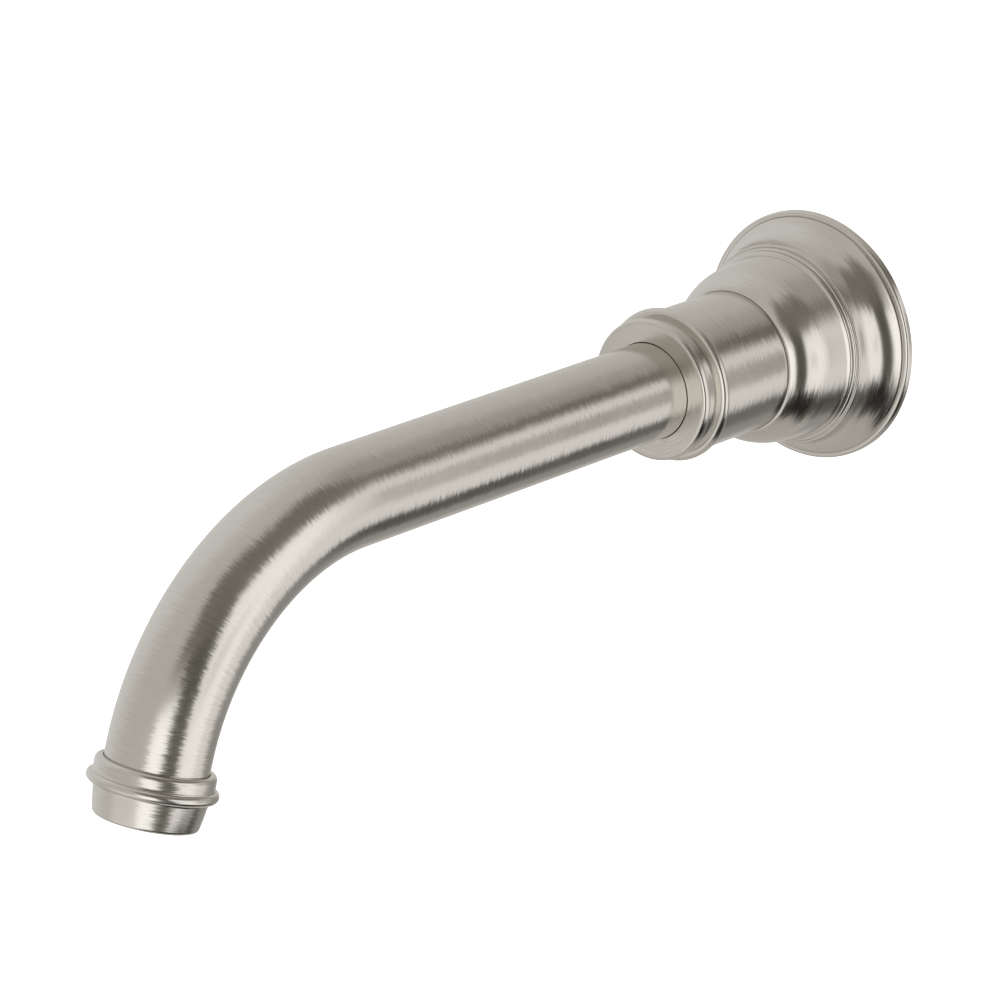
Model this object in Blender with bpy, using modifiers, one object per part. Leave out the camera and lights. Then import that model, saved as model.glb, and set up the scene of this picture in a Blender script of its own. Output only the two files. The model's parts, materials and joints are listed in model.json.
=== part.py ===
"""Wall mounted bath spout, built piece by piece.

The origin is the centre of the wall flange's back face. The wall is the plane Y = 0, the spout reaches
out along -Y and its outlet points down, +Z is up and X is across. Sizes are in millimetres and are
turned into metres where a mesh is made. A turned piece is drawn as (radius, height) points about its
own axis: on the wall axis the height is the distance from the wall, and on the tip axis it is the
distance past the end of the tube's bend.
"""

import math

import bmesh
import bpy

MM = 0.001
GAP = 0.3  # clearance between pieces that touch on the real spout

# Driving dimensions
WALL_TO_FACE = 59.4  # from the wall to the front face of the collar
FLANGE_RADIUS = 29.8
FLANGE_DEPTH = 29.6
NECK_RADIUS = 16.7
TUBE_RADIUS = 11.2
TUBE_WALL = 1.2
STRAIGHT_RUN = 99.3  # from the collar's face to the start of the bend
BEND_RADIUS = 57.9
BEND_ANGLE = 73.4  # degrees
NOZZLE_TOP = 2.6
NOZZLE_MOUTH = 14.9
THREAD_BORE = 9.4  # bore of the 1/2 in inlet thread
GRUB_FROM_WALL = 9.2

# Worked out from them
NECK_BACK = 3.0
NECK_FRONT = WALL_TO_FACE - 7.9
TUBE_BACK = WALL_TO_FACE - 21.6
BEND_START = WALL_TO_FACE + STRAIGHT_RUN
TUBE_CLEAR = TUBE_RADIUS + GAP  # bore of whatever slips over the tube
SEAL_BORE = 12.8  # the neck's bore that the spout's seals run in
ADAPTER_BORE = 13.3  # the neck's bore that slips over the adapter
CARTRIDGE_BORE = 9.5

STEPS_LARGE, STEPS_MEDIUM, STEPS_SMALL = 36, 28, 24

COLLECTION = "wall_bath_spout"
CUTTERS = "wall_bath_spout_cutters"


# Materials and collections


def material(name, colour, roughness, metallic):
    made = bpy.data.materials.new(name)
    made.use_nodes = True
    shader = made.node_tree.nodes["Principled BSDF"]
    shader.inputs["Base Color"].default_value = (*colour, 1.0)
    shader.inputs["Roughness"].default_value = roughness
    shader.inputs["Metallic"].default_value = metallic
    return made


def satin_nickel(name):
    return material(name, (0.56, 0.53, 0.48), 0.32, 1.0)


def brass(name):
    return material(name, (0.72, 0.53, 0.26), 0.35, 1.0)


def rubber(name):
    return material(name, (0.02, 0.02, 0.02), 0.75, 0.0)


def white_plastic(name):
    return material(name, (0.82, 0.82, 0.79), 0.45, 0.0)


def steel(name):
    return material(name, (0.5, 0.5, 0.5), 0.3, 1.0)


def fresh_collection(name):
    bpy.context.scene.collection.children.link(bpy.data.collections.new(name))


def place(obj, finish, parent, cutter=False):
    """Puts an object in its collection, on its axis and in its own material."""
    for old in list(obj.users_collection):
        old.objects.unlink(obj)
    bpy.data.collections[CUTTERS if cutter else COLLECTION].objects.link(obj)
    obj.parent = parent
    if cutter:
        obj.hide_render = True
        obj.display_type = "WIRE"
    else:
        obj.data.materials.clear()
        obj.data.materials.append(finish(obj.name))
    return obj


def smooth(obj, angle=35):
    obj.data.shade_smooth()
    obj.data.set_sharp_from_angle(angle=math.radians(angle))


# Outlines, as lists of (radius, height)


def arc(centre, radius, start, end, count):
    """Points on a circle in the profile plane, the angles in degrees from the radius direction."""
    angles = [math.radians(start + (end - start) * i / (count - 1)) for i in range(count)]
    return [(centre[0] + radius * math.cos(a), centre[1] + radius * math.sin(a)) for a in angles]


def bow(start, control, end, count):
    """Points on a quadratic curve, both ends included."""
    points = []
    for i in range(count):
        t = i / (count - 1)
        a, b, c = (1 - t) ** 2, 2 * t * (1 - t), t**2
        points.append(tuple(a * s + b * m + c * e for s, m, e in zip(start, control, end)))
    return points


def ring(inner, outer, low, high):
    return [(outer, high), (outer, low), (inner, low), (inner, high)]


# Shapes


def turned(name, profile, finish, parent, steps=STEPS_MEDIUM, cutter=False):
    """A closed profile, drawn down its outer side and up its inner one, turned about its axis."""
    mesh = bpy.data.meshes.new(name)
    points = [(radius * MM, 0.0, height * MM) for radius, height in profile]
    on_axis = profile[0][0] == 0.0
    last = len(points) - 1 if on_axis else len(points)
    mesh.from_pydata(points, [(i, (i + 1) % len(points)) for i in range(last)], [])
    obj = bpy.data.objects.new(name, mesh)
    screw = obj.modifiers.new("turn", "SCREW")
    screw.steps = screw.render_steps = steps
    screw.use_merge_vertices = True
    screw.merge_threshold = 0.00001
    screw.use_smooth_shade = True
    return place(obj, finish, parent, cutter)


def seal(name, radius, section, height, parent):
    """A round section sealing ring."""
    bpy.ops.mesh.primitive_torus_add(
        major_radius=radius * MM, minor_radius=section * MM, major_segments=24, minor_segments=8
    )
    obj = bpy.context.object
    obj.name = obj.data.name = name
    obj.location = (0.0, 0.0, height * MM)
    obj.data.shade_smooth()
    return place(obj, rubber, parent)


def prism(name, radius, low, high, sides, parent, at=(0.0, 0.0), turn=0.0):
    """A cutter or tool shape: an upright prism or cylinder."""
    bpy.ops.mesh.primitive_cylinder_add(vertices=sides, radius=radius * MM, depth=(high - low) * MM)
    obj = bpy.context.object
    obj.name = obj.data.name = name
    obj.location = (at[0] * MM, at[1] * MM, (low + high) / 2 * MM)
    obj.rotation_euler = (0.0, 0.0, math.radians(turn))
    return place(obj, None, parent, cutter=True)


def honeycomb(name, pitch, radius, low, high, parent):
    """Hexagonal holes in five rows, as one cutter."""
    mesh = bpy.data.meshes.new(name)
    cells = bmesh.new()
    for row in range(-2, 3):
        for column in range(5 - abs(row)):
            cell = bmesh.ops.create_cone(
                cells, cap_ends=True, segments=6,
                radius1=radius * MM, radius2=radius * MM, depth=(high - low) * MM,
            )
            x = (column - (4 - abs(row)) / 2) * pitch * MM
            y = row * pitch * math.sin(math.radians(60)) * MM
            bmesh.ops.translate(cells, verts=cell["verts"], vec=(x, y, (low + high) / 2 * MM))
    cells.to_mesh(mesh)
    cells.free()
    return place(bpy.data.objects.new(name, mesh), None, parent, cutter=True)


def combine(obj, other, operation):
    boolean = obj.modifiers.new(operation.lower(), "BOOLEAN")
    boolean.operation = operation
    boolean.object = other


# The axes that the pieces are turned on


def axis(name, location, tilt):
    """An empty whose +Z is the axis that its pieces are turned about."""
    empty = bpy.data.objects.new(name, None)
    empty.location = [value * MM for value in location]
    empty.rotation_euler = (math.radians(tilt), 0.0, 0.0)
    bpy.data.collections[COLLECTION].objects.link(empty)
    return empty


def tip_place():
    """Centre of the tube's section at the end of the bend."""
    turn = math.radians(BEND_ANGLE)
    reach = BEND_START + BEND_RADIUS * math.sin(turn)
    drop = BEND_RADIUS * (1 - math.cos(turn))
    return (0.0, -reach, -drop)


# Sub-parts on the wall axis


def inlet_adapter(wall):
    """Brass adapter: a hexagon for a spanner, a grub screw groove and two seal grooves."""
    outside = [
        (0.0, 21.0), (12.5, 21.0), (13.0, 20.5),
        (13.0, 19.6), (10.9, 19.6), (10.9, 17.4), (13.0, 17.4),
        (13.0, 15.6), (10.9, 15.6), (10.9, 13.4), (13.0, 13.4),
        (13.0, 11.8), (11.8, 11.8), (11.8, 6.6), (13.0, 6.6),
        (13.0, 0.6), (0.0, 0.6),
    ]
    body = turned("inlet_adapter", outside, brass, wall)
    combine(body, prism("adapter_hexagon", 15.6, 0.6, 2.6, 6, wall, turn=30), "UNION")
    bore = [(0.0, 22.0), (7.0, 22.0), (7.0, 12.6), (THREAD_BORE, 12.6), (THREAD_BORE, 0.0), (0.0, 0.0)]
    combine(body, turned("adapter_bore", bore, None, wall, cutter=True), "DIFFERENCE")
    turned("inlet_washer", ring(7.4, THREAD_BORE - GAP, 10.8, 12.3), rubber, wall, STEPS_SMALL)
    seal("adapter_o_ring_rear", 12.1, 0.9, 14.5, wall)
    seal("adapter_o_ring_front", 12.1, 0.9, 18.5, wall)


def neck_sleeve(wall, screw_axis):
    """The body of the spout: bores for the adapter and the spout's seals on each side of a web."""
    seat = WALL_TO_FACE - 18.3
    profile = [
        (NECK_RADIUS - 0.4, NECK_FRONT), (NECK_RADIUS, NECK_FRONT - 0.4),
        (NECK_RADIUS, NECK_BACK + 0.5), (NECK_RADIUS - 0.5, NECK_BACK),
        (ADAPTER_BORE, NECK_BACK), (ADAPTER_BORE, 21.6), (8.0, 21.6), (8.0, 24.6),
        (SEAL_BORE, 24.6), (SEAL_BORE, seat), (14.3, seat), (14.3, NECK_FRONT),
    ]
    body = turned("neck_sleeve", profile, satin_nickel, wall, STEPS_LARGE)
    combine(body, prism("grub_hole", 2.5, 12.0, 18.0, 20, screw_axis), "DIFFERENCE")


def grub_screw(screw_axis):
    """Set screw with a hexagon socket, flush with the underside of the neck."""
    tip, head = 12.1, NECK_RADIUS - 0.2
    profile = [(0.0, head), (1.9, head), (2.2, head - 0.3), (2.2, tip + 0.6), (1.6, tip), (0.0, tip)]
    body = turned("grub_screw", profile, steel, screw_axis, 20)
    combine(body, prism("grub_socket", 1.15, head - 2.2, head + 1.0, 6, screw_axis), "DIFFERENCE")


def wall_flange(wall):
    """Bell with a rim bead, a stepped ring of three beads and a domed hub that slips over the neck."""
    hub = NECK_RADIUS + GAP
    outside = [
        (17.05, FLANGE_DEPTH),
        *bow((17.25, 29.35), (20.63, 26.41), (21.32, 19.86), 7),
        (21.9, 14.45),
        *arc((22.05, 13.55), 0.62, 70, -45, 3),
        *arc((22.62, 12.45), 0.55, 80, -45, 3),
        *arc((23.45, 11.62), 0.36, 110, 0, 3),
        *bow((23.85, 10.8), (23.95, 5.05), (28.3, 2.0), 7),
        *arc((28.95, 0.98), 0.85, 120, 0, 4),
        (FLANGE_RADIUS, 0.0),
    ]
    inside = [
        (28.4, 0.0), (28.4, 1.0), (25.0, 1.0), (23.6, 4.3), (22.3, 8.3), (21.4, 11.3),
        (20.0, 14.3), (20.0, 19.8), (18.9, 23.3), (hub, 23.7),
        (hub, 24.8), (18.4, 24.8), (18.4, 26.6), (hub, 26.6), (hub, FLANGE_DEPTH),
    ]
    turned("wall_flange", outside + inside, satin_nickel, wall, STEPS_LARGE)
    turned("flange_gasket", ring(25.3, 28.1, 0.0, 0.7), rubber, wall)
    seal("flange_o_ring", 17.6, 0.55, 25.7, wall)


def collar_nut(wall):
    """Two beads with a plain band between them, and a threaded skirt that screws into the neck."""
    face = WALL_TO_FACE
    profile = [
        (TUBE_CLEAR, face), (15.6, face), (16.05, face - 0.2), (16.4, face - 0.8),
        (16.5, face - 1.4), (16.4, face - 1.9), (16.05, face - 2.1),
        (16.05, face - 5.4),
        *arc((16.55, face - 6.45), 1.3, 75, -75, 5),
        (16.4, face - 7.6), (14.0, face - 7.6), (14.0, face - 17.9),
        (12.7, face - 17.9), (12.7, face - 1.6), (TUBE_CLEAR, face - 1.6),
    ]
    turned("collar_nut", profile, satin_nickel, wall, STEPS_LARGE)


def swivel_fittings(wall):
    """What the tube is held by and turns on inside the neck and the collar nut."""
    end = TUBE_BACK + 3.5
    grooved = [
        (TUBE_CLEAR, end), (12.5, end),
        (12.5, 35.6), (10.4, 35.6), (10.4, 33.4), (12.5, 33.4),
        (12.5, 31.6), (10.4, 31.6), (10.4, 29.4), (12.5, 29.4),
        (12.5, 27.6), (12.1, 27.2), (8.6, 27.2),
        (8.6, TUBE_BACK - GAP), (TUBE_CLEAR, TUBE_BACK - GAP),
    ]
    turned("spout_ferrule", grooved, brass, wall)
    seal("spout_o_ring_rear", 11.6, 0.9, 30.5, wall)
    seal("spout_o_ring_front", 11.6, 0.9, 34.5, wall)
    turned("slip_washer", ring(TUBE_CLEAR, 12.4, end + GAP, end + 1.4), white_plastic, wall)
    bush = ring(TUBE_CLEAR, 12.4, end + 1.7, WALL_TO_FACE - 1.6 - GAP)
    turned("bearing_bush", bush, white_plastic, wall)


def spout_tube():
    """Straight run, one round bend and a short end, as a shell of even thickness."""
    path = [(0.0, -TUBE_BACK, 0.0), (0.0, -BEND_START, 0.0)]
    stations = 12
    for i in range(1, stations + 1):
        turn = math.radians(BEND_ANGLE * i / stations)
        along = BEND_START + BEND_RADIUS * math.sin(turn)
        path.append((0.0, -along, -BEND_RADIUS * (1 - math.cos(turn))))
    turn = math.radians(BEND_ANGLE)
    last = NOZZLE_TOP + 4.95
    path.append((0.0, path[-1][1] - last * math.cos(turn), path[-1][2] - last * math.sin(turn)))

    curve = bpy.data.curves.new("tube_path", "CURVE")
    curve.dimensions = "3D"
    curve.bevel_depth = TUBE_RADIUS * MM
    curve.bevel_resolution = 12
    line = curve.splines.new("POLY")
    line.points.add(len(path) - 1)
    for point, place_mm in zip(line.points, path):
        point.co = (*(value * MM for value in place_mm), 1.0)
    guide = bpy.data.objects.new("tube_path", curve)
    bpy.data.collections[COLLECTION].objects.link(guide)
    evaluated = guide.evaluated_get(bpy.context.evaluated_depsgraph_get())
    mesh = bpy.data.meshes.new_from_object(evaluated)
    bpy.data.objects.remove(guide)

    mesh.name = "spout_tube"
    tube = bpy.data.objects.new("spout_tube", mesh)
    smooth(tube)
    place(tube, satin_nickel, None)
    shell = tube.modifiers.new("wall", "SOLIDIFY")
    shell.thickness = TUBE_WALL * MM
    shell.offset = -1.0


# Sub-parts on the tip axis


def outlet_nozzle(tip):
    """Ring, bead and tapered mouth, with a socket for the tube and a bore for the cartridge."""
    socket_end = NOZZLE_TOP + 5.25
    profile = [
        (9.8, NOZZLE_MOUTH), *arc((10.5, NOZZLE_MOUTH - 0.9), 0.9, 80, 10, 3),
        (12.2, 9.2), (12.5, 8.5),
        *arc((12.85, 7.1), 1.25, 75, -75, 5),
        (12.9, 5.75), (12.9, 4.25),
        *arc((11.75, NOZZLE_TOP + 1.15), 1.15, -15, -90, 4),
        (TUBE_CLEAR, NOZZLE_TOP), (TUBE_CLEAR, socket_end), (8.6, socket_end),
        (8.6, 8.7), (CARTRIDGE_BORE, 8.7), (CARTRIDGE_BORE, NOZZLE_MOUTH - 0.3),
    ]
    turned("outlet_nozzle", profile, satin_nickel, tip)


def straightener_cartridge(tip):
    """Seal, threaded ring with key notches, honeycomb and screen, which unscrew as one."""
    outer = CARTRIDGE_BORE - GAP
    turned("outlet_seal", ring(7.6, outer, 9.0, 10.0), rubber, tip, STEPS_SMALL)
    housing = [(7.2, 14.2), (outer, 14.2), (outer, 10.3), (7.9, 10.3), (7.9, 13.3), (7.2, 13.3)]
    body = turned("straightener_housing", housing, white_plastic, tip, STEPS_SMALL)
    for i in range(4):
        turn = math.radians(45 + 90 * i)
        at = (8.6 * math.cos(turn), 8.6 * math.sin(turn))
        notch = prism(f"key_notch_{i}", 0.9, 13.6, 15.0, 4, tip, at, 45 + 90 * i)
        combine(body, notch, "DIFFERENCE")
    core = turned("straightener_core", [(0.0, 13.0), (7.6, 13.0), (7.6, 11.2), (0.0, 11.2)],
                  white_plastic, tip, STEPS_SMALL)
    combine(core, honeycomb("core_cells", 2.9, 1.4, 10.0, 14.0, tip), "DIFFERENCE")
    screen = turned("debris_screen", [(0.0, 10.9), (7.6, 10.9), (7.6, 10.3), (0.0, 10.3)],
                    steel, tip, STEPS_SMALL)
    combine(screen, honeycomb("screen_holes", 2.9, 0.9, 9.5, 12.0, tip), "DIFFERENCE")


def build():
    for old in list(bpy.data.objects):
        bpy.data.objects.remove(old)
    fresh_collection(COLLECTION)
    fresh_collection(CUTTERS)
    wall = axis("wall_axis", (0.0, 0.0, 0.0), 90)
    tip = axis("tip_axis", tip_place(), 90 + BEND_ANGLE)
    screw_axis = axis("grub_axis", (0.0, -GRUB_FROM_WALL, 0.0), 180)
    inlet_adapter(wall)
    neck_sleeve(wall, screw_axis)
    grub_screw(screw_axis)
    wall_flange(wall)
    collar_nut(wall)
    swivel_fittings(wall)
    spout_tube()
    outlet_nozzle(tip)
    straightener_cartridge(tip)


build()
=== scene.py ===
"""Looks for the wall mounted bath spout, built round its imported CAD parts.

Every visible turned piece is redrawn finer than its CAD node, with small edge radii, and stands for that
node on the same body. Lengths are in millimetres in the row frame: the wall is the plane through the
flange's back, the spout reaches out along -Y and +Z is up. A turned piece is an outline of
(radius, height) points, drawn down its outer side and up its inner one. The height is the distance
from the wall on the wall axis, past the end of the tube's bend on the tip axis, and below the wall axis
on the grub screw's axis.
"""

import json
import math

import bpy
from mathutils import Matrix, Vector

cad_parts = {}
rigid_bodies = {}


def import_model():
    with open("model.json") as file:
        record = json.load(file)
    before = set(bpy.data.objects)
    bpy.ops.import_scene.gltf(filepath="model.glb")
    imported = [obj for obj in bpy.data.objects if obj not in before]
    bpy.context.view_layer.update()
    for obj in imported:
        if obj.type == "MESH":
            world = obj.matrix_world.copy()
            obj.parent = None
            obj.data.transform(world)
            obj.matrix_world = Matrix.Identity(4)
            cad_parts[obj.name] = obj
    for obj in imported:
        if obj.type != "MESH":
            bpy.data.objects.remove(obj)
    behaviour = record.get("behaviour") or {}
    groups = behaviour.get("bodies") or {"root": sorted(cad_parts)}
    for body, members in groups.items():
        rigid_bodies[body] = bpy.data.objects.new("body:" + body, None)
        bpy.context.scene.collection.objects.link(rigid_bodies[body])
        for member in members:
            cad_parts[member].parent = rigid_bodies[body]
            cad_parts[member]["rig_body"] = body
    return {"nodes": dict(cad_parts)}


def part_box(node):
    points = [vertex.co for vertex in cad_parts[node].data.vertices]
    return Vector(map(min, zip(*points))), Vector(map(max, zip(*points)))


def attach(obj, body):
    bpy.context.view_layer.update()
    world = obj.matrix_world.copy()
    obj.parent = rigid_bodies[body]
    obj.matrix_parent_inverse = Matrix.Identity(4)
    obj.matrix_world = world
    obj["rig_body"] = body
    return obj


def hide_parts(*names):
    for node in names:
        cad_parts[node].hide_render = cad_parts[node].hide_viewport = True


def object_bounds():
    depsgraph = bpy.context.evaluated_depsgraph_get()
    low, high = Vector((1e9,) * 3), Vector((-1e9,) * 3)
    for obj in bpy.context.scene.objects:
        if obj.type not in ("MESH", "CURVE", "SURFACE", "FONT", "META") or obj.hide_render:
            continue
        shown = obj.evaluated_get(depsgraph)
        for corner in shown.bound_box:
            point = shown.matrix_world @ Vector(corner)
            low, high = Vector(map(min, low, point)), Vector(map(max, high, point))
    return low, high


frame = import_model()
cad_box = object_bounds()

MM = 0.001

# Driving sizes, the same as the CAD part's
WALL_TO_FACE = 59.4
NECK_RADIUS = 16.7
NECK_FRONT = WALL_TO_FACE - 7.9
TUBE_RADIUS = 11.2
TUBE_BORE = 10.0
TUBE_BACK = WALL_TO_FACE - 21.6
TUBE_END = 7.55  # past the end of its bend
BEND_START = WALL_TO_FACE + 99.3
BEND_RADIUS = 57.9
BEND_TURN = math.radians(73.4)
GRUB_FROM_WALL = 9.2

# The fits that show are finer than the CAD's clearances
HUB_BORE = NECK_RADIUS + 0.03
TUBE_CLEAR = TUBE_RADIUS + 0.1

# Edges sharper than this are shaded as edges
SHARP_ANGLE = math.radians(33)

# Where the part stands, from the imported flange
flange_low, flange_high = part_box("wall_flange")
ORIGIN = Vector((
    (flange_low.x + flange_high.x) / 2, flange_high.y, (flange_low.z + flange_high.z) / 2,
))


# Places


def along_tube(distance, turn=0.0, past=0.0):
    """(centre, across, outwards, forwards) of the tube's section: distance from the wall on the
    straight run, then an angle round the bend, then a distance past it."""
    centre = Vector((
        0.0,
        -distance - BEND_RADIUS * math.sin(turn) - past * math.cos(turn),
        -BEND_RADIUS * (1 - math.cos(turn)) - past * math.sin(turn),
    ))
    across = Vector((1.0, 0.0, 0.0))
    outwards = Vector((0.0, -math.sin(turn), math.cos(turn)))
    forwards = Vector((0.0, -math.cos(turn), -math.sin(turn)))
    return centre, across, outwards, forwards


def circle(section, radius, height, segments, shape=None):
    """Points of one circle about a section's axis, in metres. shape may change the radius round it."""
    centre, across, outwards, forwards = section
    points = []
    for i in range(segments):
        angle = 2 * math.pi * i / segments
        reach = shape(radius, height, angle) if shape else radius
        spoke = across * math.cos(angle) + outwards * math.sin(angle)
        place = centre + forwards * height + spoke * reach
        points.append(ORIGIN + place * MM)
    return points


WALL_AXIS = along_tube(0.0)
TIP_AXIS = along_tube(BEND_START, BEND_TURN)
GRUB_AXIS = (
    Vector((0.0, -GRUB_FROM_WALL, 0.0)), Vector((1, 0, 0)), Vector((0, -1, 0)), Vector((0, 0, -1)),
)


# Outlines


def arc(centre, radius, start, end, count):
    """Points on a circle in the outline's plane, the angles in degrees from the radius direction."""
    angles = [math.radians(start + (end - start) * i / (count - 1)) for i in range(count)]
    return [(centre[0] + radius * math.cos(a), centre[1] + radius * math.sin(a)) for a in angles]


def bow(start, control, end, count):
    """Points on a quadratic curve, both ends included."""
    points = []
    for i in range(count):
        t = i / (count - 1)
        a, b, c = (1 - t) ** 2, 2 * t * (1 - t), t**2
        points.append(tuple(a * s + b * m + c * e for s, m, e in zip(start, control, end)))
    return points


def pin(radius, top, bottom):
    """Outline of a plain pin, to cut a hole with."""
    return [(0.0, top), (radius, top), (radius, bottom), (0.0, bottom)]


def eased(corners, steps):
    """Rounds the corners of an outline that are given as (radius, height, edge radius)."""
    most = 0.48  # of the shorter side, so that two rounded corners never meet
    count = len(corners)
    points = []
    for i, corner in enumerate(corners):
        if len(corner) == 2 or corner[2] == 0:
            points.append(corner[:2])
            continue
        here = Vector(corner[:2])
        back = Vector(corners[i - 1][:2]) - here
        on = Vector(corners[(i + 1) % count][:2]) - here
        room = most * min(back.length, on.length)
        back.normalize()
        on.normalize()
        half = back.angle(on) / 2
        reach = min(corner[2] / math.tan(half), room)
        middle = here + (back + on).normalized() * (reach / math.cos(half))
        first, last = here + back * reach - middle, here + on * reach - middle
        sweep = first.angle_signed(last)
        for k in range(steps):
            turned = first.copy()
            turned.rotate(Matrix.Rotation(-sweep * k / (steps - 1), 2))
            points.append(tuple(middle + turned))
    return points


# Meshes


def skin(name, rows, lengths, closed=True, inner_from=None):
    """One mesh over rows of points. A row of one point is a pole. Rows from inner_from on take the
    second material. The UV map holds the turn round the axis and the distance along in metres, which
    the brushed finishes are drawn by."""
    verts, starts = [], []
    for row in rows:
        starts.append(len(verts))
        verts.extend(row)
    faces, uvs, slots = [], [], []
    segments = max(len(row) for row in rows)
    for j in range(len(rows) if closed else len(rows) - 1):
        k = (j + 1) % len(rows)
        v0 = lengths[j]
        v1 = lengths[j + 1]
        for i in range(segments):
            n = (i + 1) % segments
            u0, u1 = i / segments, (i + 1) / segments
            if len(rows[j]) == 1:
                faces.append((starts[j], starts[k] + i, starts[k] + n))
                uvs.extend([(u0, v0), (u0, v1), (u1, v1)])
            elif len(rows[k]) == 1:
                faces.append((starts[j] + i, starts[k], starts[j] + n))
                uvs.extend([(u0, v0), (u0, v1), (u1, v0)])
            else:
                faces.append((starts[j] + i, starts[k] + i, starts[k] + n, starts[j] + n))
                uvs.extend([(u0, v0), (u0, v1), (u1, v1), (u1, v0)])
            slots.append(1 if inner_from is not None and j >= inner_from else 0)
    mesh = bpy.data.meshes.new(name)
    mesh.from_pydata(verts, [], faces)
    layer = mesh.uv_layers.new(name="brush")
    layer.data.foreach_set("uv", [value for uv in uvs for value in uv])
    mesh.polygons.foreach_set("material_index", slots)
    mesh.shade_smooth()
    mesh.set_sharp_from_angle(angle=SHARP_ANGLE)
    obj = bpy.data.objects.new(name, mesh)
    bpy.context.scene.collection.objects.link(obj)
    even = obj.modifiers.new("even_normals", "WEIGHTED_NORMAL")
    even.keep_sharp = True
    return obj


def running_lengths(points, scale=MM):
    """Distance along a line of points, its closing step included."""
    total, lengths = 0.0, [0.0]
    for a, b in zip(points, points[1:] + points[:1]):
        total += (Vector(b) - Vector(a)).length * scale
        lengths.append(total)
    return lengths


def turned(name, outline, section=WALL_AXIS, segments=144, shape=None, inner_from=None):
    """A closed outline turned about its axis. An outline that starts and ends on the axis is closed
    by its two poles."""
    rows = []
    for radius, height in outline:
        if radius == 0.0:
            centre, _, _, forwards = section
            rows.append([ORIGIN + (centre + forwards * height) * MM])
        else:
            rows.append(circle(section, radius, height, segments, shape))
    return skin(name, rows, running_lengths(outline), outline[0][0] != 0.0, inner_from)


def cut(obj, cutters):
    """Takes the cutters out of obj and keeps the result as its mesh."""
    for cutter in cutters:
        boolean = obj.modifiers.new("cut", "BOOLEAN")
        boolean.operation = "DIFFERENCE"
        boolean.solver = "EXACT"
        boolean.object = cutter
        bpy.ops.object.select_all(action="DESELECT")
        bpy.context.view_layer.objects.active = obj
        bpy.ops.object.modifier_move_to_index(modifier=boolean.name, index=0)
        bpy.ops.object.modifier_apply(modifier=boolean.name)
        bpy.data.objects.remove(cutter)
    return obj


# Node helpers


def node(tree, kind, inputs=(), **settings):
    """A node with its settings, and its inputs as (name or number, value or socket)."""
    made = tree.nodes.new(kind)
    for name, value in settings.items():
        setattr(made, name, value)
    for key, value in inputs:
        if isinstance(value, bpy.types.NodeSocket):
            tree.links.new(value, made.inputs[key])
        else:
            made.inputs[key].default_value = value
    return made


def maths(tree, operation, *values):
    """A math node's result."""
    return node(tree, "ShaderNodeMath", list(enumerate(values)), operation=operation).outputs[0]


def ramp_between(tree, value, low, high, to_low=0.0, to_high=1.0, style="LINEAR"):
    """The value, brought from one range to another and held at its ends."""
    made = node(
        tree, "ShaderNodeMapRange",
        [("Value", value), ("From Min", low), ("From Max", high),
         ("To Min", to_low), ("To Max", to_high)],
        interpolation_type=style,
    )
    return made.outputs[0]


def noise(tree, vector, scale, detail, roughness):
    """Noise from 0 to 1."""
    made = node(
        tree, "ShaderNodeTexNoise",
        [("Vector", vector), ("Scale", scale), ("Detail", detail), ("Roughness", roughness)],
    )
    return made.outputs[0]


def mixed(tree, share, a, b):
    """A colour mix: a where share is 0, b where it is 1."""
    made = node(tree, "ShaderNodeMix", [(0, share), (6, a), (7, b)], data_type="RGBA")
    return made.outputs[2]


def rgb(r, g, b):
    """An opaque colour."""
    return (r, g, b, 1.0)


# Materials

HAIRLINE_DEPTH = 0.03 * MM
PIT_DEPTH = 0.03 * MM


def blank(name):
    """A material with its Principled shader and a tree to add to."""
    made = bpy.data.materials.new(name)
    made.use_nodes = True
    return made, made.node_tree, made.node_tree.nodes["Principled BSDF"]


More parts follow.
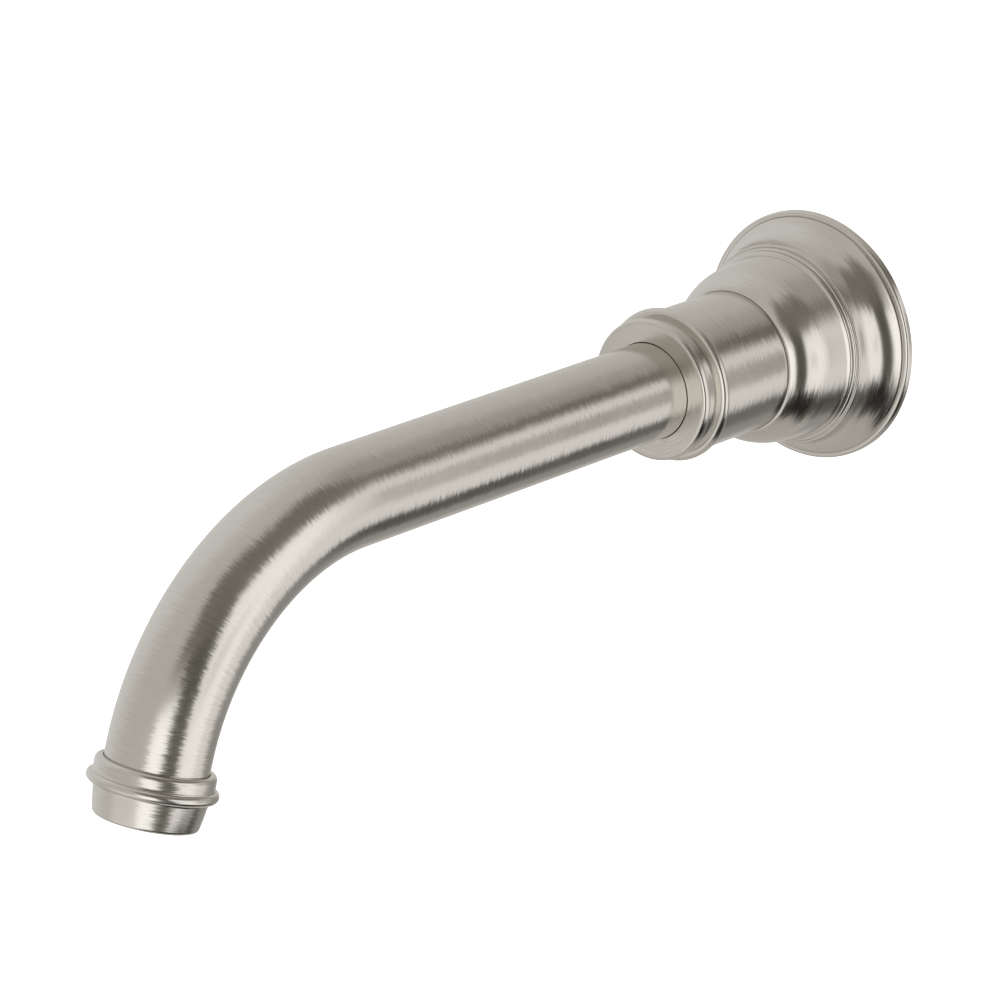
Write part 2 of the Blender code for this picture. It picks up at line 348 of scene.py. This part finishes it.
def brushed(name, light, dark, rough, stretch, tilt=0.07, wide=1.0):
    """Metal brushed round its axis: hairlines in the colour, the roughness and the slope."""
    made, tree, shader = blank(name)
    brush = node(tree, "ShaderNodeUVMap", uv_map="brush").outputs[0]
    spread = node(tree, "ShaderNodeSeparateXYZ", [(0, brush)])
    around = maths(tree, "MULTIPLY", spread.outputs[0], 2 * math.pi)

    def hairlines(length, width):
        """Noise drawn out round the axis. length is in parts of the radius, width in metres."""
        vector = node(tree, "ShaderNodeCombineXYZ", [
            (0, maths(tree, "MULTIPLY", maths(tree, "COSINE", around), 1 / length)),
            (1, maths(tree, "MULTIPLY", maths(tree, "SINE", around), 1 / length)),
            (2, maths(tree, "MULTIPLY", spread.outputs[1], 1 / width)),
        ]).outputs[0]
        return noise(tree, vector, 1.0, 2.0, 0.6)

    coarse = hairlines(0.3, 0.00026 * wide)
    fine = hairlines(0.16, 0.0001 * wide)
    grain = maths(tree, "ADD", maths(tree, "MULTIPLY", coarse, 0.6), maths(tree, "MULTIPLY", fine, 0.4))
    place = node(tree, "ShaderNodeTexCoord").outputs["Object"]
    cloud = noise(tree, place, 55.0, 3.0, 0.55)

    # the colour follows the hairlines, with some soft blotches
    lines = ramp_between(tree, grain, 0.3, 0.7, 0.0, 0.72)
    blotches = ramp_between(tree, cloud, 0.3, 0.7, 0.0, 0.28)
    shade = maths(tree, "ADD", lines, blotches)
    tree.links.new(mixed(tree, shade, rgb(*dark), rgb(*light)), shader.inputs["Base Color"])

    # so does the roughness
    swing = 0.05
    lines = ramp_between(tree, fine, 0.25, 0.75, rough - swing, rough + swing)
    blotches = ramp_between(tree, cloud, 0.3, 0.7, -0.02, 0.02)
    tree.links.new(maths(tree, "ADD", lines, blotches), shader.inputs["Roughness"])

    # each coarse line leans a little along the brushing, which frays the edges of reflections
    tangent = node(tree, "ShaderNodeTangent", direction_type="UV_MAP", uv_map="brush").outputs[0]
    normal = node(tree, "ShaderNodeNewGeometry").outputs["Normal"]
    lean = maths(tree, "MULTIPLY", maths(tree, "SUBTRACT", coarse, 0.5), 2 * tilt)
    leaning = node(tree, "ShaderNodeVectorMath", [(0, tangent), ("Scale", lean)], operation="SCALE")
    slope = node(tree, "ShaderNodeVectorMath", [(0, normal), (1, leaning.outputs[0])], operation="ADD")
    slope = node(tree, "ShaderNodeVectorMath", [(0, slope.outputs[0])], operation="NORMALIZE")
    bump = node(tree, "ShaderNodeBump", [
        ("Strength", 0.12), ("Distance", HAIRLINE_DEPTH), ("Height", grain), ("Normal", slope.outputs[0]),
    ])
    tree.links.new(bump.outputs[0], shader.inputs["Normal"])
    tree.links.new(tangent, shader.inputs["Tangent"])
    shader.inputs["Metallic"].default_value = 1.0
    shader.inputs["Anisotropic"].default_value = stretch
    return made


def grained(name, light, dark, rough, pitch, metal=0.0, relief=0.3):
    """An even cast, moulded or rubbery surface: fine pitting and soft blotches."""
    made, tree, shader = blank(name)
    place = node(tree, "ShaderNodeTexCoord").outputs["Object"]
    pits = noise(tree, place, pitch, 3.0, 0.65)
    blotch = noise(tree, place, 70.0, 3.0, 0.5)

    specks = ramp_between(tree, pits, 0.3, 0.7, 0.0, 0.45)
    blotches = ramp_between(tree, blotch, 0.3, 0.7, 0.0, 0.55)
    share = maths(tree, "ADD", specks, blotches)
    tree.links.new(mixed(tree, share, rgb(*dark), rgb(*light)), shader.inputs["Base Color"])

    swing = 0.07
    both = maths(tree, "ADD", pits, blotch)
    rough_now = ramp_between(tree, both, 0.7, 1.3, rough - swing, rough + swing)
    tree.links.new(rough_now, shader.inputs["Roughness"])

    bump = node(tree, "ShaderNodeBump", [("Strength", relief), ("Distance", PIT_DEPTH), ("Height", pits)])
    tree.links.new(bump.outputs[0], shader.inputs["Normal"])
    shader.inputs["Metallic"].default_value = metal
    return made


NICKEL = brushed("brushed_nickel", (0.66, 0.636, 0.595), (0.585, 0.563, 0.525), 0.2, 0.5, tilt=0.11)
NICKEL_INSIDE = grained("cast_nickel", (0.42, 0.40, 0.36), (0.30, 0.285, 0.25), 0.5, 1600.0, metal=1.0)
BRASS = brushed("turned_brass", (0.76, 0.56, 0.30), (0.62, 0.44, 0.21), 0.3, 0.5, wide=1.6)
STEEL_PLAIN = grained("plain_steel", (0.56, 0.56, 0.55), (0.46, 0.46, 0.45), 0.34, 2400.0, metal=1.0)
BRASS_PLAIN = grained("plain_brass", (0.72, 0.52, 0.27), (0.58, 0.41, 0.20), 0.36, 2000.0, metal=1.0)
RUBBER = grained(
    "black_rubber", (0.035, 0.035, 0.034), (0.012, 0.012, 0.012), 0.62, 2600.0, relief=0.4,
)
PLASTIC = grained(
    "moulded_plastic", (0.80, 0.80, 0.77), (0.70, 0.70, 0.67), 0.42, 3200.0, relief=0.18,
)


# The new pieces


def stands_for(obj, node_name, slot_name, *materials):
    """Dresses a new piece and puts it in its node's place on the same body."""
    for material in materials:
        obj.data.materials.append(material)
    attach(obj, frame["nodes"][node_name]["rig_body"])
    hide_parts(node_name)
    return obj


def flange_bell():
    """Dome, three small beads, a hollow bell and the rim, with an O-ring groove in the hub's bore."""
    outside = [
        *arc((HUB_BORE + 0.08, 29.5), 0.08, 180, 60, 4),
        *bow((17.2, 29.45), (20.9, 26.7), (21.45, 19.9), 30),
        (21.57, 18.2), (21.72, 16.5), (21.85, 14.85), (21.9, 14.45),
        *arc((22.05, 13.55), 0.62, 70, -50, 9),
        *arc((22.62, 12.45), 0.55, 105, -50, 9),
        *arc((23.45, 11.62), 0.36, 125, 0, 8),
        *bow((23.85, 10.8), (23.95, 5.05), (28.3, 2.0), 34),
        *arc((28.94, 0.98), 0.85, 125, 0, 14),
        (29.79, 0.0),
    ]
    inside = [
        (28.4, 0.0, 0.15), (28.4, 1.0, 0.1), (25.0, 1.0, 0.5), (23.6, 4.3, 1.0), (22.3, 8.3, 1.0),
        (21.4, 11.3, 1.0), (20.0, 14.3, 1.0), (20.0, 19.8, 1.0), (18.9, 23.3, 0.5), (HUB_BORE, 23.7, 0.1),
        (HUB_BORE, 24.7, 0.1), (18.5, 24.7, 0.1), (18.5, 26.7, 0.1), (HUB_BORE, 26.7, 0.1),
        (HUB_BORE, 28.6, 0),
    ]
    bell = turned("flange_bell", eased(outside + inside, 4), segments=192, inner_from=len(outside))
    return stands_for(bell, "wall_flange", "satin_nickel", NICKEL, NICKEL_INSIDE)


def neck_barrel():
    """Plain barrel over the adapter, with a wider seat in front and a hole for the grub screw."""
    seat = WALL_TO_FACE - 18.3
    hole_radius, hole_top, hole_bottom = 2.5, 18.0, 12.0
    outline = eased([
        (NECK_RADIUS, NECK_FRONT, 0.3), (NECK_RADIUS, 3.0, 0.4), (13.3, 3.0, 0.2), (13.3, 21.6, 0.1),
        (8.0, 21.6, 0.2), (8.0, 24.6, 0.2), (12.8, 24.6, 0.1), (12.8, seat, 0.1), (14.3, seat, 0.1),
        (14.3, NECK_FRONT, 0.1),
    ], 5)
    barrel = turned("neck_barrel", outline, inner_from=9)
    drill = turned("grub_drill", pin(hole_radius, hole_top, hole_bottom), GRUB_AXIS, 32)
    return stands_for(cut(barrel, [drill]), "neck_sleeve", "satin_nickel", NICKEL, NICKEL_INSIDE)


def collar_beads():
    """Front bead, plain band and rear bead of the collar, and its skirt inside the neck."""
    face = WALL_TO_FACE
    front = [
        *arc((TUBE_CLEAR + 0.12, face - 0.12), 0.12, 180, 90, 4),
        (13.5, face), (15.2, face),
        *bow((15.55, face - 0.01), (16.47, face - 0.1), (16.5, face - 1.35), 10),
        *bow((16.49, face - 1.55), (16.4, face - 2.05), (16.1, face - 2.15), 5),
        (16.05, face - 2.4), (16.05, face - 5.15),
        *arc((16.55, face - 6.45), 1.3, 85, -85, 17),
        (16.4, face - 7.6),
    ]
    back = [
        (14.0, face - 7.6, 0.1), (14.0, face - 17.9, 0.3), (12.7, face - 17.9, 0.2),
        (12.7, face - 1.6, 0.1), (TUBE_CLEAR, face - 1.6, 0),
    ]
    beads = turned("collar_beads", eased(front + back, 4), inner_from=len(front))
    return stands_for(beads, "collar_nut", "satin_nickel", NICKEL, NICKEL_INSIDE)


def spout_pipe():
    """Short end, round bend and straight run as one shell of even thickness."""
    ends, bends, straights = 3, 56, 14
    segments = 128
    run = BEND_START - TUBE_BACK
    stations = [along_tube(BEND_START, BEND_TURN, TUBE_END * i / ends) for i in range(ends, 0, -1)]
    stations += [along_tube(BEND_START, BEND_TURN * i / bends) for i in range(bends, 0, -1)]
    stations += [along_tube(TUBE_BACK + run * i / straights) for i in range(straights, -1, -1)]
    outer = [circle(section, TUBE_RADIUS, 0.0, segments) for section in stations]
    inner = [circle(section, TUBE_BORE, 0.0, segments) for section in reversed(stations)]
    centres = [section[0] for section in stations]
    lengths = [0.0]
    for a, b in zip(centres, centres[1:]):
        lengths.append(lengths[-1] + (b - a).length * MM)
    wall = (TUBE_RADIUS - TUBE_BORE) * MM
    back_end = lengths[-1]
    lengths += [back_end + wall + (back_end - length) for length in reversed(lengths)]
    lengths.append(lengths[-1] + wall)
    pipe = skin("spout_pipe", outer + inner, lengths, inner_from=len(stations))
    return stands_for(pipe, "spout_tube", "satin_nickel", NICKEL, NICKEL_INSIDE)


def nozzle_tip():
    """Step, bead and tapered mouth on the tube's end, with the flow straightener's bore."""
    outside = [
        *arc((9.8, 14.72), 0.15, 180, 90, 4),
        *arc((10.5, 13.97), 0.9, 84, 8, 8),
        (11.8, 11.7), (12.22, 8.8), (12.28, 8.42),
        *arc((12.85, 7.1), 1.19, 112, -78, 21),
        *arc((13.15, 5.5), 0.25, 120, 180, 3),
        (12.9, 4.85), (12.9, 4.25),
        *arc((11.75, 3.75), 1.15, -8, -88, 10),
        *arc((TUBE_CLEAR + 0.1, 2.7), 0.1, -90, -180, 3),
    ]
    inside = [
        (TUBE_CLEAR, 7.85, 0.1), (8.6, 7.85, 0.1), (8.6, 8.7, 0.1), (9.5, 8.7, 0.1), (9.5, 14.2, 0),
    ]
    tip = turned("nozzle_tip", eased(outside + inside, 3), TIP_AXIS, inner_from=len(outside))
    return stands_for(tip, "outlet_nozzle", "satin_nickel", NICKEL, NICKEL_INSIDE)


def inlet_fitting():
    """Adapter with a hexagon for a spanner, seal grooves and an internal pipe thread."""
    half_flats = 13.51
    hexagon_from = 15.0  # only the hexagon's outline reaches beyond this radius
    thread_radius, thread_start, thread_end = 9.4, 0.9, 12.4
    pitch, depth, run_out = 1.814, 0.95, 0.8

    def shape(radius, height, angle):
        if radius > hexagon_from:
            return min(radius, half_flats / math.cos((angle % (math.pi / 3)) - math.pi / 6))
        if radius == thread_radius and thread_start < height < thread_end:
            turn = (height / pitch - angle / (2 * math.pi)) % 1.0
            fade = min(1.0, (height - thread_start) / run_out, (thread_end - height) / run_out)
            groove = min(1.0, max(0.0, 1.6 * (1 - abs(2 * turn - 1)) - 0.3))
            return radius + depth * fade * groove
        return radius

    outline = eased([
        (7.0, 21.0, 0.2), (13.0, 21.0, 0.5), (13.0, 19.6, 0.1), (10.9, 19.6, 0.1), (10.9, 17.4, 0.1),
        (13.0, 17.4, 0.1), (13.0, 15.6, 0.1), (10.9, 15.6, 0.1), (10.9, 13.4, 0.1), (13.0, 13.4, 0.1),
        (13.0, 11.8, 0.1), (11.8, 11.8, 0.1), (11.8, 6.6, 0.1), (13.0, 6.6, 0.1), (13.0, 2.6, 0.1),
        (15.2, 2.6, 0.3), (15.2, 0.6, 0.3), (10.0, 0.6, 0.3),
    ], 3)
    rows, row_start, row_length = 88, 0.8, 11.8
    outline += [(thread_radius, row_start + row_length * i / rows) for i in range(rows + 1)]
    outline += [(7.0, 12.7)]
    fitting = turned("inlet_fitting", outline, shape=shape)
    return stands_for(fitting, "inlet_adapter", "brass", BRASS)


def grub_head():
    """Headless screw with a hexagon socket."""
    head, tip = NECK_RADIUS - 0.2, 12.1
    radius, key_radius = 2.2, 1.15
    outline = eased([(0.0, head), (radius, head, 0.25), (radius, tip, 0.5), (0.0, tip)], 4)
    screw = turned("grub_head", outline, GRUB_AXIS, 40)
    key = [(0.0, head + 1.0), (key_radius, head + 1.0), (key_radius, head - 2.2), (0.0, head - 2.6)]
    socket = turned("grub_key", key, GRUB_AXIS, 6)
    return stands_for(cut(screw, [socket]), "grub_screw", "stainless", STEEL_PLAIN)


def gasket_ring():
    """Flat ring in the back of the flange's rim."""
    ring = turned("gasket_ring", eased([
        (28.1, 0.7, 0.12), (28.1, 0.0, 0.12), (25.3, 0.0, 0.12), (25.3, 0.7, 0.12),
    ], 3))
    return stands_for(ring, "flange_gasket", "rubber", RUBBER)


def inlet_seal():
    """Flat seal at the bottom of the inlet thread."""
    ring = turned("inlet_seal", eased([
        (9.1, 12.3, 0.2), (9.1, 10.8, 0.2), (7.4, 10.8, 0.2), (7.4, 12.3, 0.2),
    ], 3), segments=96)
    return stands_for(ring, "inlet_washer", "rubber", RUBBER)


def aerator_ring():
    """Outer ring of the flow straightener, with four notches for its key."""
    ring = turned("aerator_ring", eased([
        (7.2, 14.2, 0.2), (9.2, 14.2, 0.3), (9.2, 10.3, 0.2), (7.9, 10.3, 0.1), (7.9, 13.3, 0.1),
        (7.2, 13.3, 0.15),
    ], 4), TIP_AXIS, 120)
    centre, across, outwards, forwards = TIP_AXIS
    notch_circle = 8.6
    notches = []
    for i in range(4):
        turn = math.radians(45 + 90 * i)
        out = across * math.cos(turn) + outwards * math.sin(turn)
        section = (centre + out * notch_circle, out, forwards.cross(out), forwards)
        notches.append(turned(f"key_notch_{i}", pin(0.9, 15.0, 13.6), section, 4))
    return stands_for(cut(ring, notches), "straightener_housing", "white_plastic", PLASTIC)


flange_bell()
neck_barrel()
collar_beads()
spout_pipe()
nozzle_tip()
inlet_fitting()
grub_head()
gasket_ring()
inlet_seal()
aerator_ring()

# The CAD nodes that stay, in better materials
KEPT = {
    "adapter_o_ring_rear": RUBBER, "adapter_o_ring_front": RUBBER, "flange_o_ring": RUBBER,
    "spout_o_ring_rear": RUBBER, "spout_o_ring_front": RUBBER, "outlet_seal": RUBBER,
    "spout_ferrule": BRASS_PLAIN, "slip_washer": PLASTIC, "bearing_bush": PLASTIC,
    "straightener_core": PLASTIC, "debris_screen": STEEL_PLAIN,
}
for kept_node, better_material in KEPT.items():
    kept_mesh = frame["nodes"][kept_node].data
    kept_mesh.materials.clear()
    kept_mesh.materials.append(better_material)


# Studio: the light comes from all round, as big soft panels and dark gaps between them

SKY = (0.66, 0.642, 0.605)
GROUND = (0.58, 0.565, 0.53)
HORIZON = (-15.0, -45.0)  # where the sky starts to fade and where it has become the ground

# Panels of light and dark, each painted over those before it. In turn: azimuths,
# heights, how soft the edges are across and up, all in degrees, and the colour.
PANELS = [
    # the open side and the pale ground before it
    ((-128, -60), (-30, 64), (25, 20), (0.81, 0.81, 0.795)),
    ((-35, 26), (-50, -8), (10, 10), (0.92, 0.91, 0.89)),
    # behind the part, where the wall would be
    ((148, 190), (34, 64), (18, 12), (0.45, 0.435, 0.4)),
    ((160, 200), (-50, 4), (8, 8), (0.36, 0.354, 0.336)),
    # the taupe gap over the panels, the dark gap between them and the black floor in front
    ((24, 150), (30, 72), (12, 8), (0.22, 0.203, 0.172)),
    ((146, 168), (20, 38), (5, 6), (0.12, 0.113, 0.095)),
    ((46, 94), (-34, 34), (5, 8), (0.12, 0.113, 0.092)),
    ((100, 152), (-66, -36), (12, 5), (0.1, 0.096, 0.085)),
    ((22, 122), (-66, -37), (5, 4), (0.01, 0.01, 0.008)),
    ((138, 160), (-48, -32), (4, 3), (0.05, 0.049, 0.045)),
    ((155, 171), (-52, -38), (6, 4), (0.12, 0.117, 0.108)),
    # the two soft panels
    ((20, 53), (-32, 18), (5, 5), (1.5, 1.5, 1.48)),
    ((88, 150), (-33, 25), (4, 3), (1.0, 0.99, 0.97)),
    ((85, 124), (-34, 29), (4, 4), (1.3, 1.29, 1.27)),
    ((94, 108), (-7, 6), (4, 3), (0.95, 0.94, 0.91)),
    ((133, 146), (-10, 12), (3, 4), (0.45, 0.435, 0.4)),
    ((66, 124), (-62, -33), (6, 2), (0.008, 0.008, 0.007)),
]


def studio_light():
    """World light by direction. Azimuth 0 is where the spout points, 90 is +X; both in degrees."""
    world = bpy.data.worlds.new("studio")
    bpy.context.scene.world = world
    world.use_nodes = True
    tree = world.node_tree
    tree.nodes.clear()
    direction = node(tree, "ShaderNodeTexCoord").outputs["Generated"]
    x, y, z = node(tree, "ShaderNodeSeparateXYZ", [(0, direction)]).outputs
    azimuth = maths(tree, "DEGREES", maths(tree, "ARCTAN2", x, maths(tree, "MULTIPLY", y, -1.0)))
    height = maths(tree, "DEGREES", maths(tree, "ARCSINE", z))

    def band(value, ends, soft, wrap=False):
        """1 between the two ends and 0 outside them, with soft edges."""
        centre, half = sum(ends) / 2, (ends[1] - ends[0]) / 2
        offset = maths(tree, "SUBTRACT", value, centre)
        if wrap:
            offset = maths(tree, "WRAP", offset, 180.0, -180.0)
        offset = maths(tree, "ABSOLUTE", offset)
        return ramp_between(tree, offset, half + soft, half - soft, style="SMOOTHSTEP")

    def panel(below, azimuths, heights, soft, colour):
        """A soft edged rectangle of light or dark over what lies below it."""
        side = band(azimuth, azimuths, soft[0], True)
        level = band(height, heights, soft[1])
        return mixed(tree, maths(tree, "MULTIPLY", side, level), below, rgb(*colour))

    fade = ramp_between(tree, height, *HORIZON, style="SMOOTHSTEP")
    light = mixed(tree, fade, rgb(*SKY), rgb(*GROUND))
    for settings in PANELS:
        light = panel(light, *settings)

    lamp = node(tree, "ShaderNodeBackground", [(0, light), (1, 1.0)]).outputs[0]
    paper = node(tree, "ShaderNodeBackground", [(0, rgb(1, 1, 1)), (1, 1.0)]).outputs[0]
    seen = node(tree, "ShaderNodeLightPath").outputs["Is Camera Ray"]
    choice = node(tree, "ShaderNodeMixShader", [(0, seen), (1, lamp), (2, paper)]).outputs[0]
    node(tree, "ShaderNodeOutputWorld", [(0, choice)])


FLOOR_DROP = 0.2  # metres below the part
FLOOR_HALF = 3.0  # metres from its middle to its sides


def pale_floor():
    """Plain pale floor under the part, seen from above only."""
    low = cad_box[0].z - FLOOR_DROP
    near, far = -FLOOR_HALF, FLOOR_HALF
    corners = [(near, near, low), (far, near, low), (far, far, low), (near, far, low)]
    mesh = bpy.data.meshes.new("floor")
    mesh.from_pydata(corners, [], [(0, 1, 2, 3)])
    floor = bpy.data.objects.new("floor", mesh)
    bpy.context.scene.collection.objects.link(floor)
    made, tree, shader = blank("pale_floor")
    shader.inputs["Base Color"].default_value = rgb(0.85, 0.85, 0.85)
    shader.inputs["Roughness"].default_value = 0.9
    shader.inputs["Emission Color"].default_value = rgb(1, 1, 1)
    shader.inputs["Emission Strength"].default_value = 1.0
    under = node(tree, "ShaderNodeBsdfTransparent").outputs[0]
    facing = node(tree, "ShaderNodeNewGeometry").outputs["Backfacing"]
    choice = node(tree, "ShaderNodeMixShader", [(0, facing), (1, shader.outputs[0]), (2, under)]).outputs[0]
    tree.links.new(choice, tree.nodes["Material Output"].inputs[0])
    mesh.materials.append(made)
    floor.visible_glossy = False
    floor.visible_diffuse = False
    floor.visible_shadow = False


CAMERA_PLACE = Vector((0.62283, -0.82155, 0.33419))  # metres from the part's origin
CAMERA_TILT = 69.8214  # degrees up from looking straight down
CAMERA_ROLL = -1.3024
CAMERA_HEADING = 41.6641  # degrees anticlockwise from facing the wall


def camera():
    """Long lens, looking from the front right and above."""
    data = bpy.data.cameras.new("camera")
    data.lens = 165.0
    data.sensor_width = 36.0
    data.clip_start = 0.01
    data.clip_end = 20.0
    made = bpy.data.objects.new("camera", data)
    bpy.context.scene.collection.objects.link(made)
    made.location = ORIGIN + CAMERA_PLACE
    made.rotation_euler = [math.radians(a) for a in (CAMERA_TILT, CAMERA_ROLL, CAMERA_HEADING)]
    bpy.context.scene.camera = made


studio_light()
pale_floor()
camera()
bpy.context.scene.view_settings.view_transform = "Standard"
bpy.context.scene.view_settings.look = "None"

bpy.context.view_layer.update()
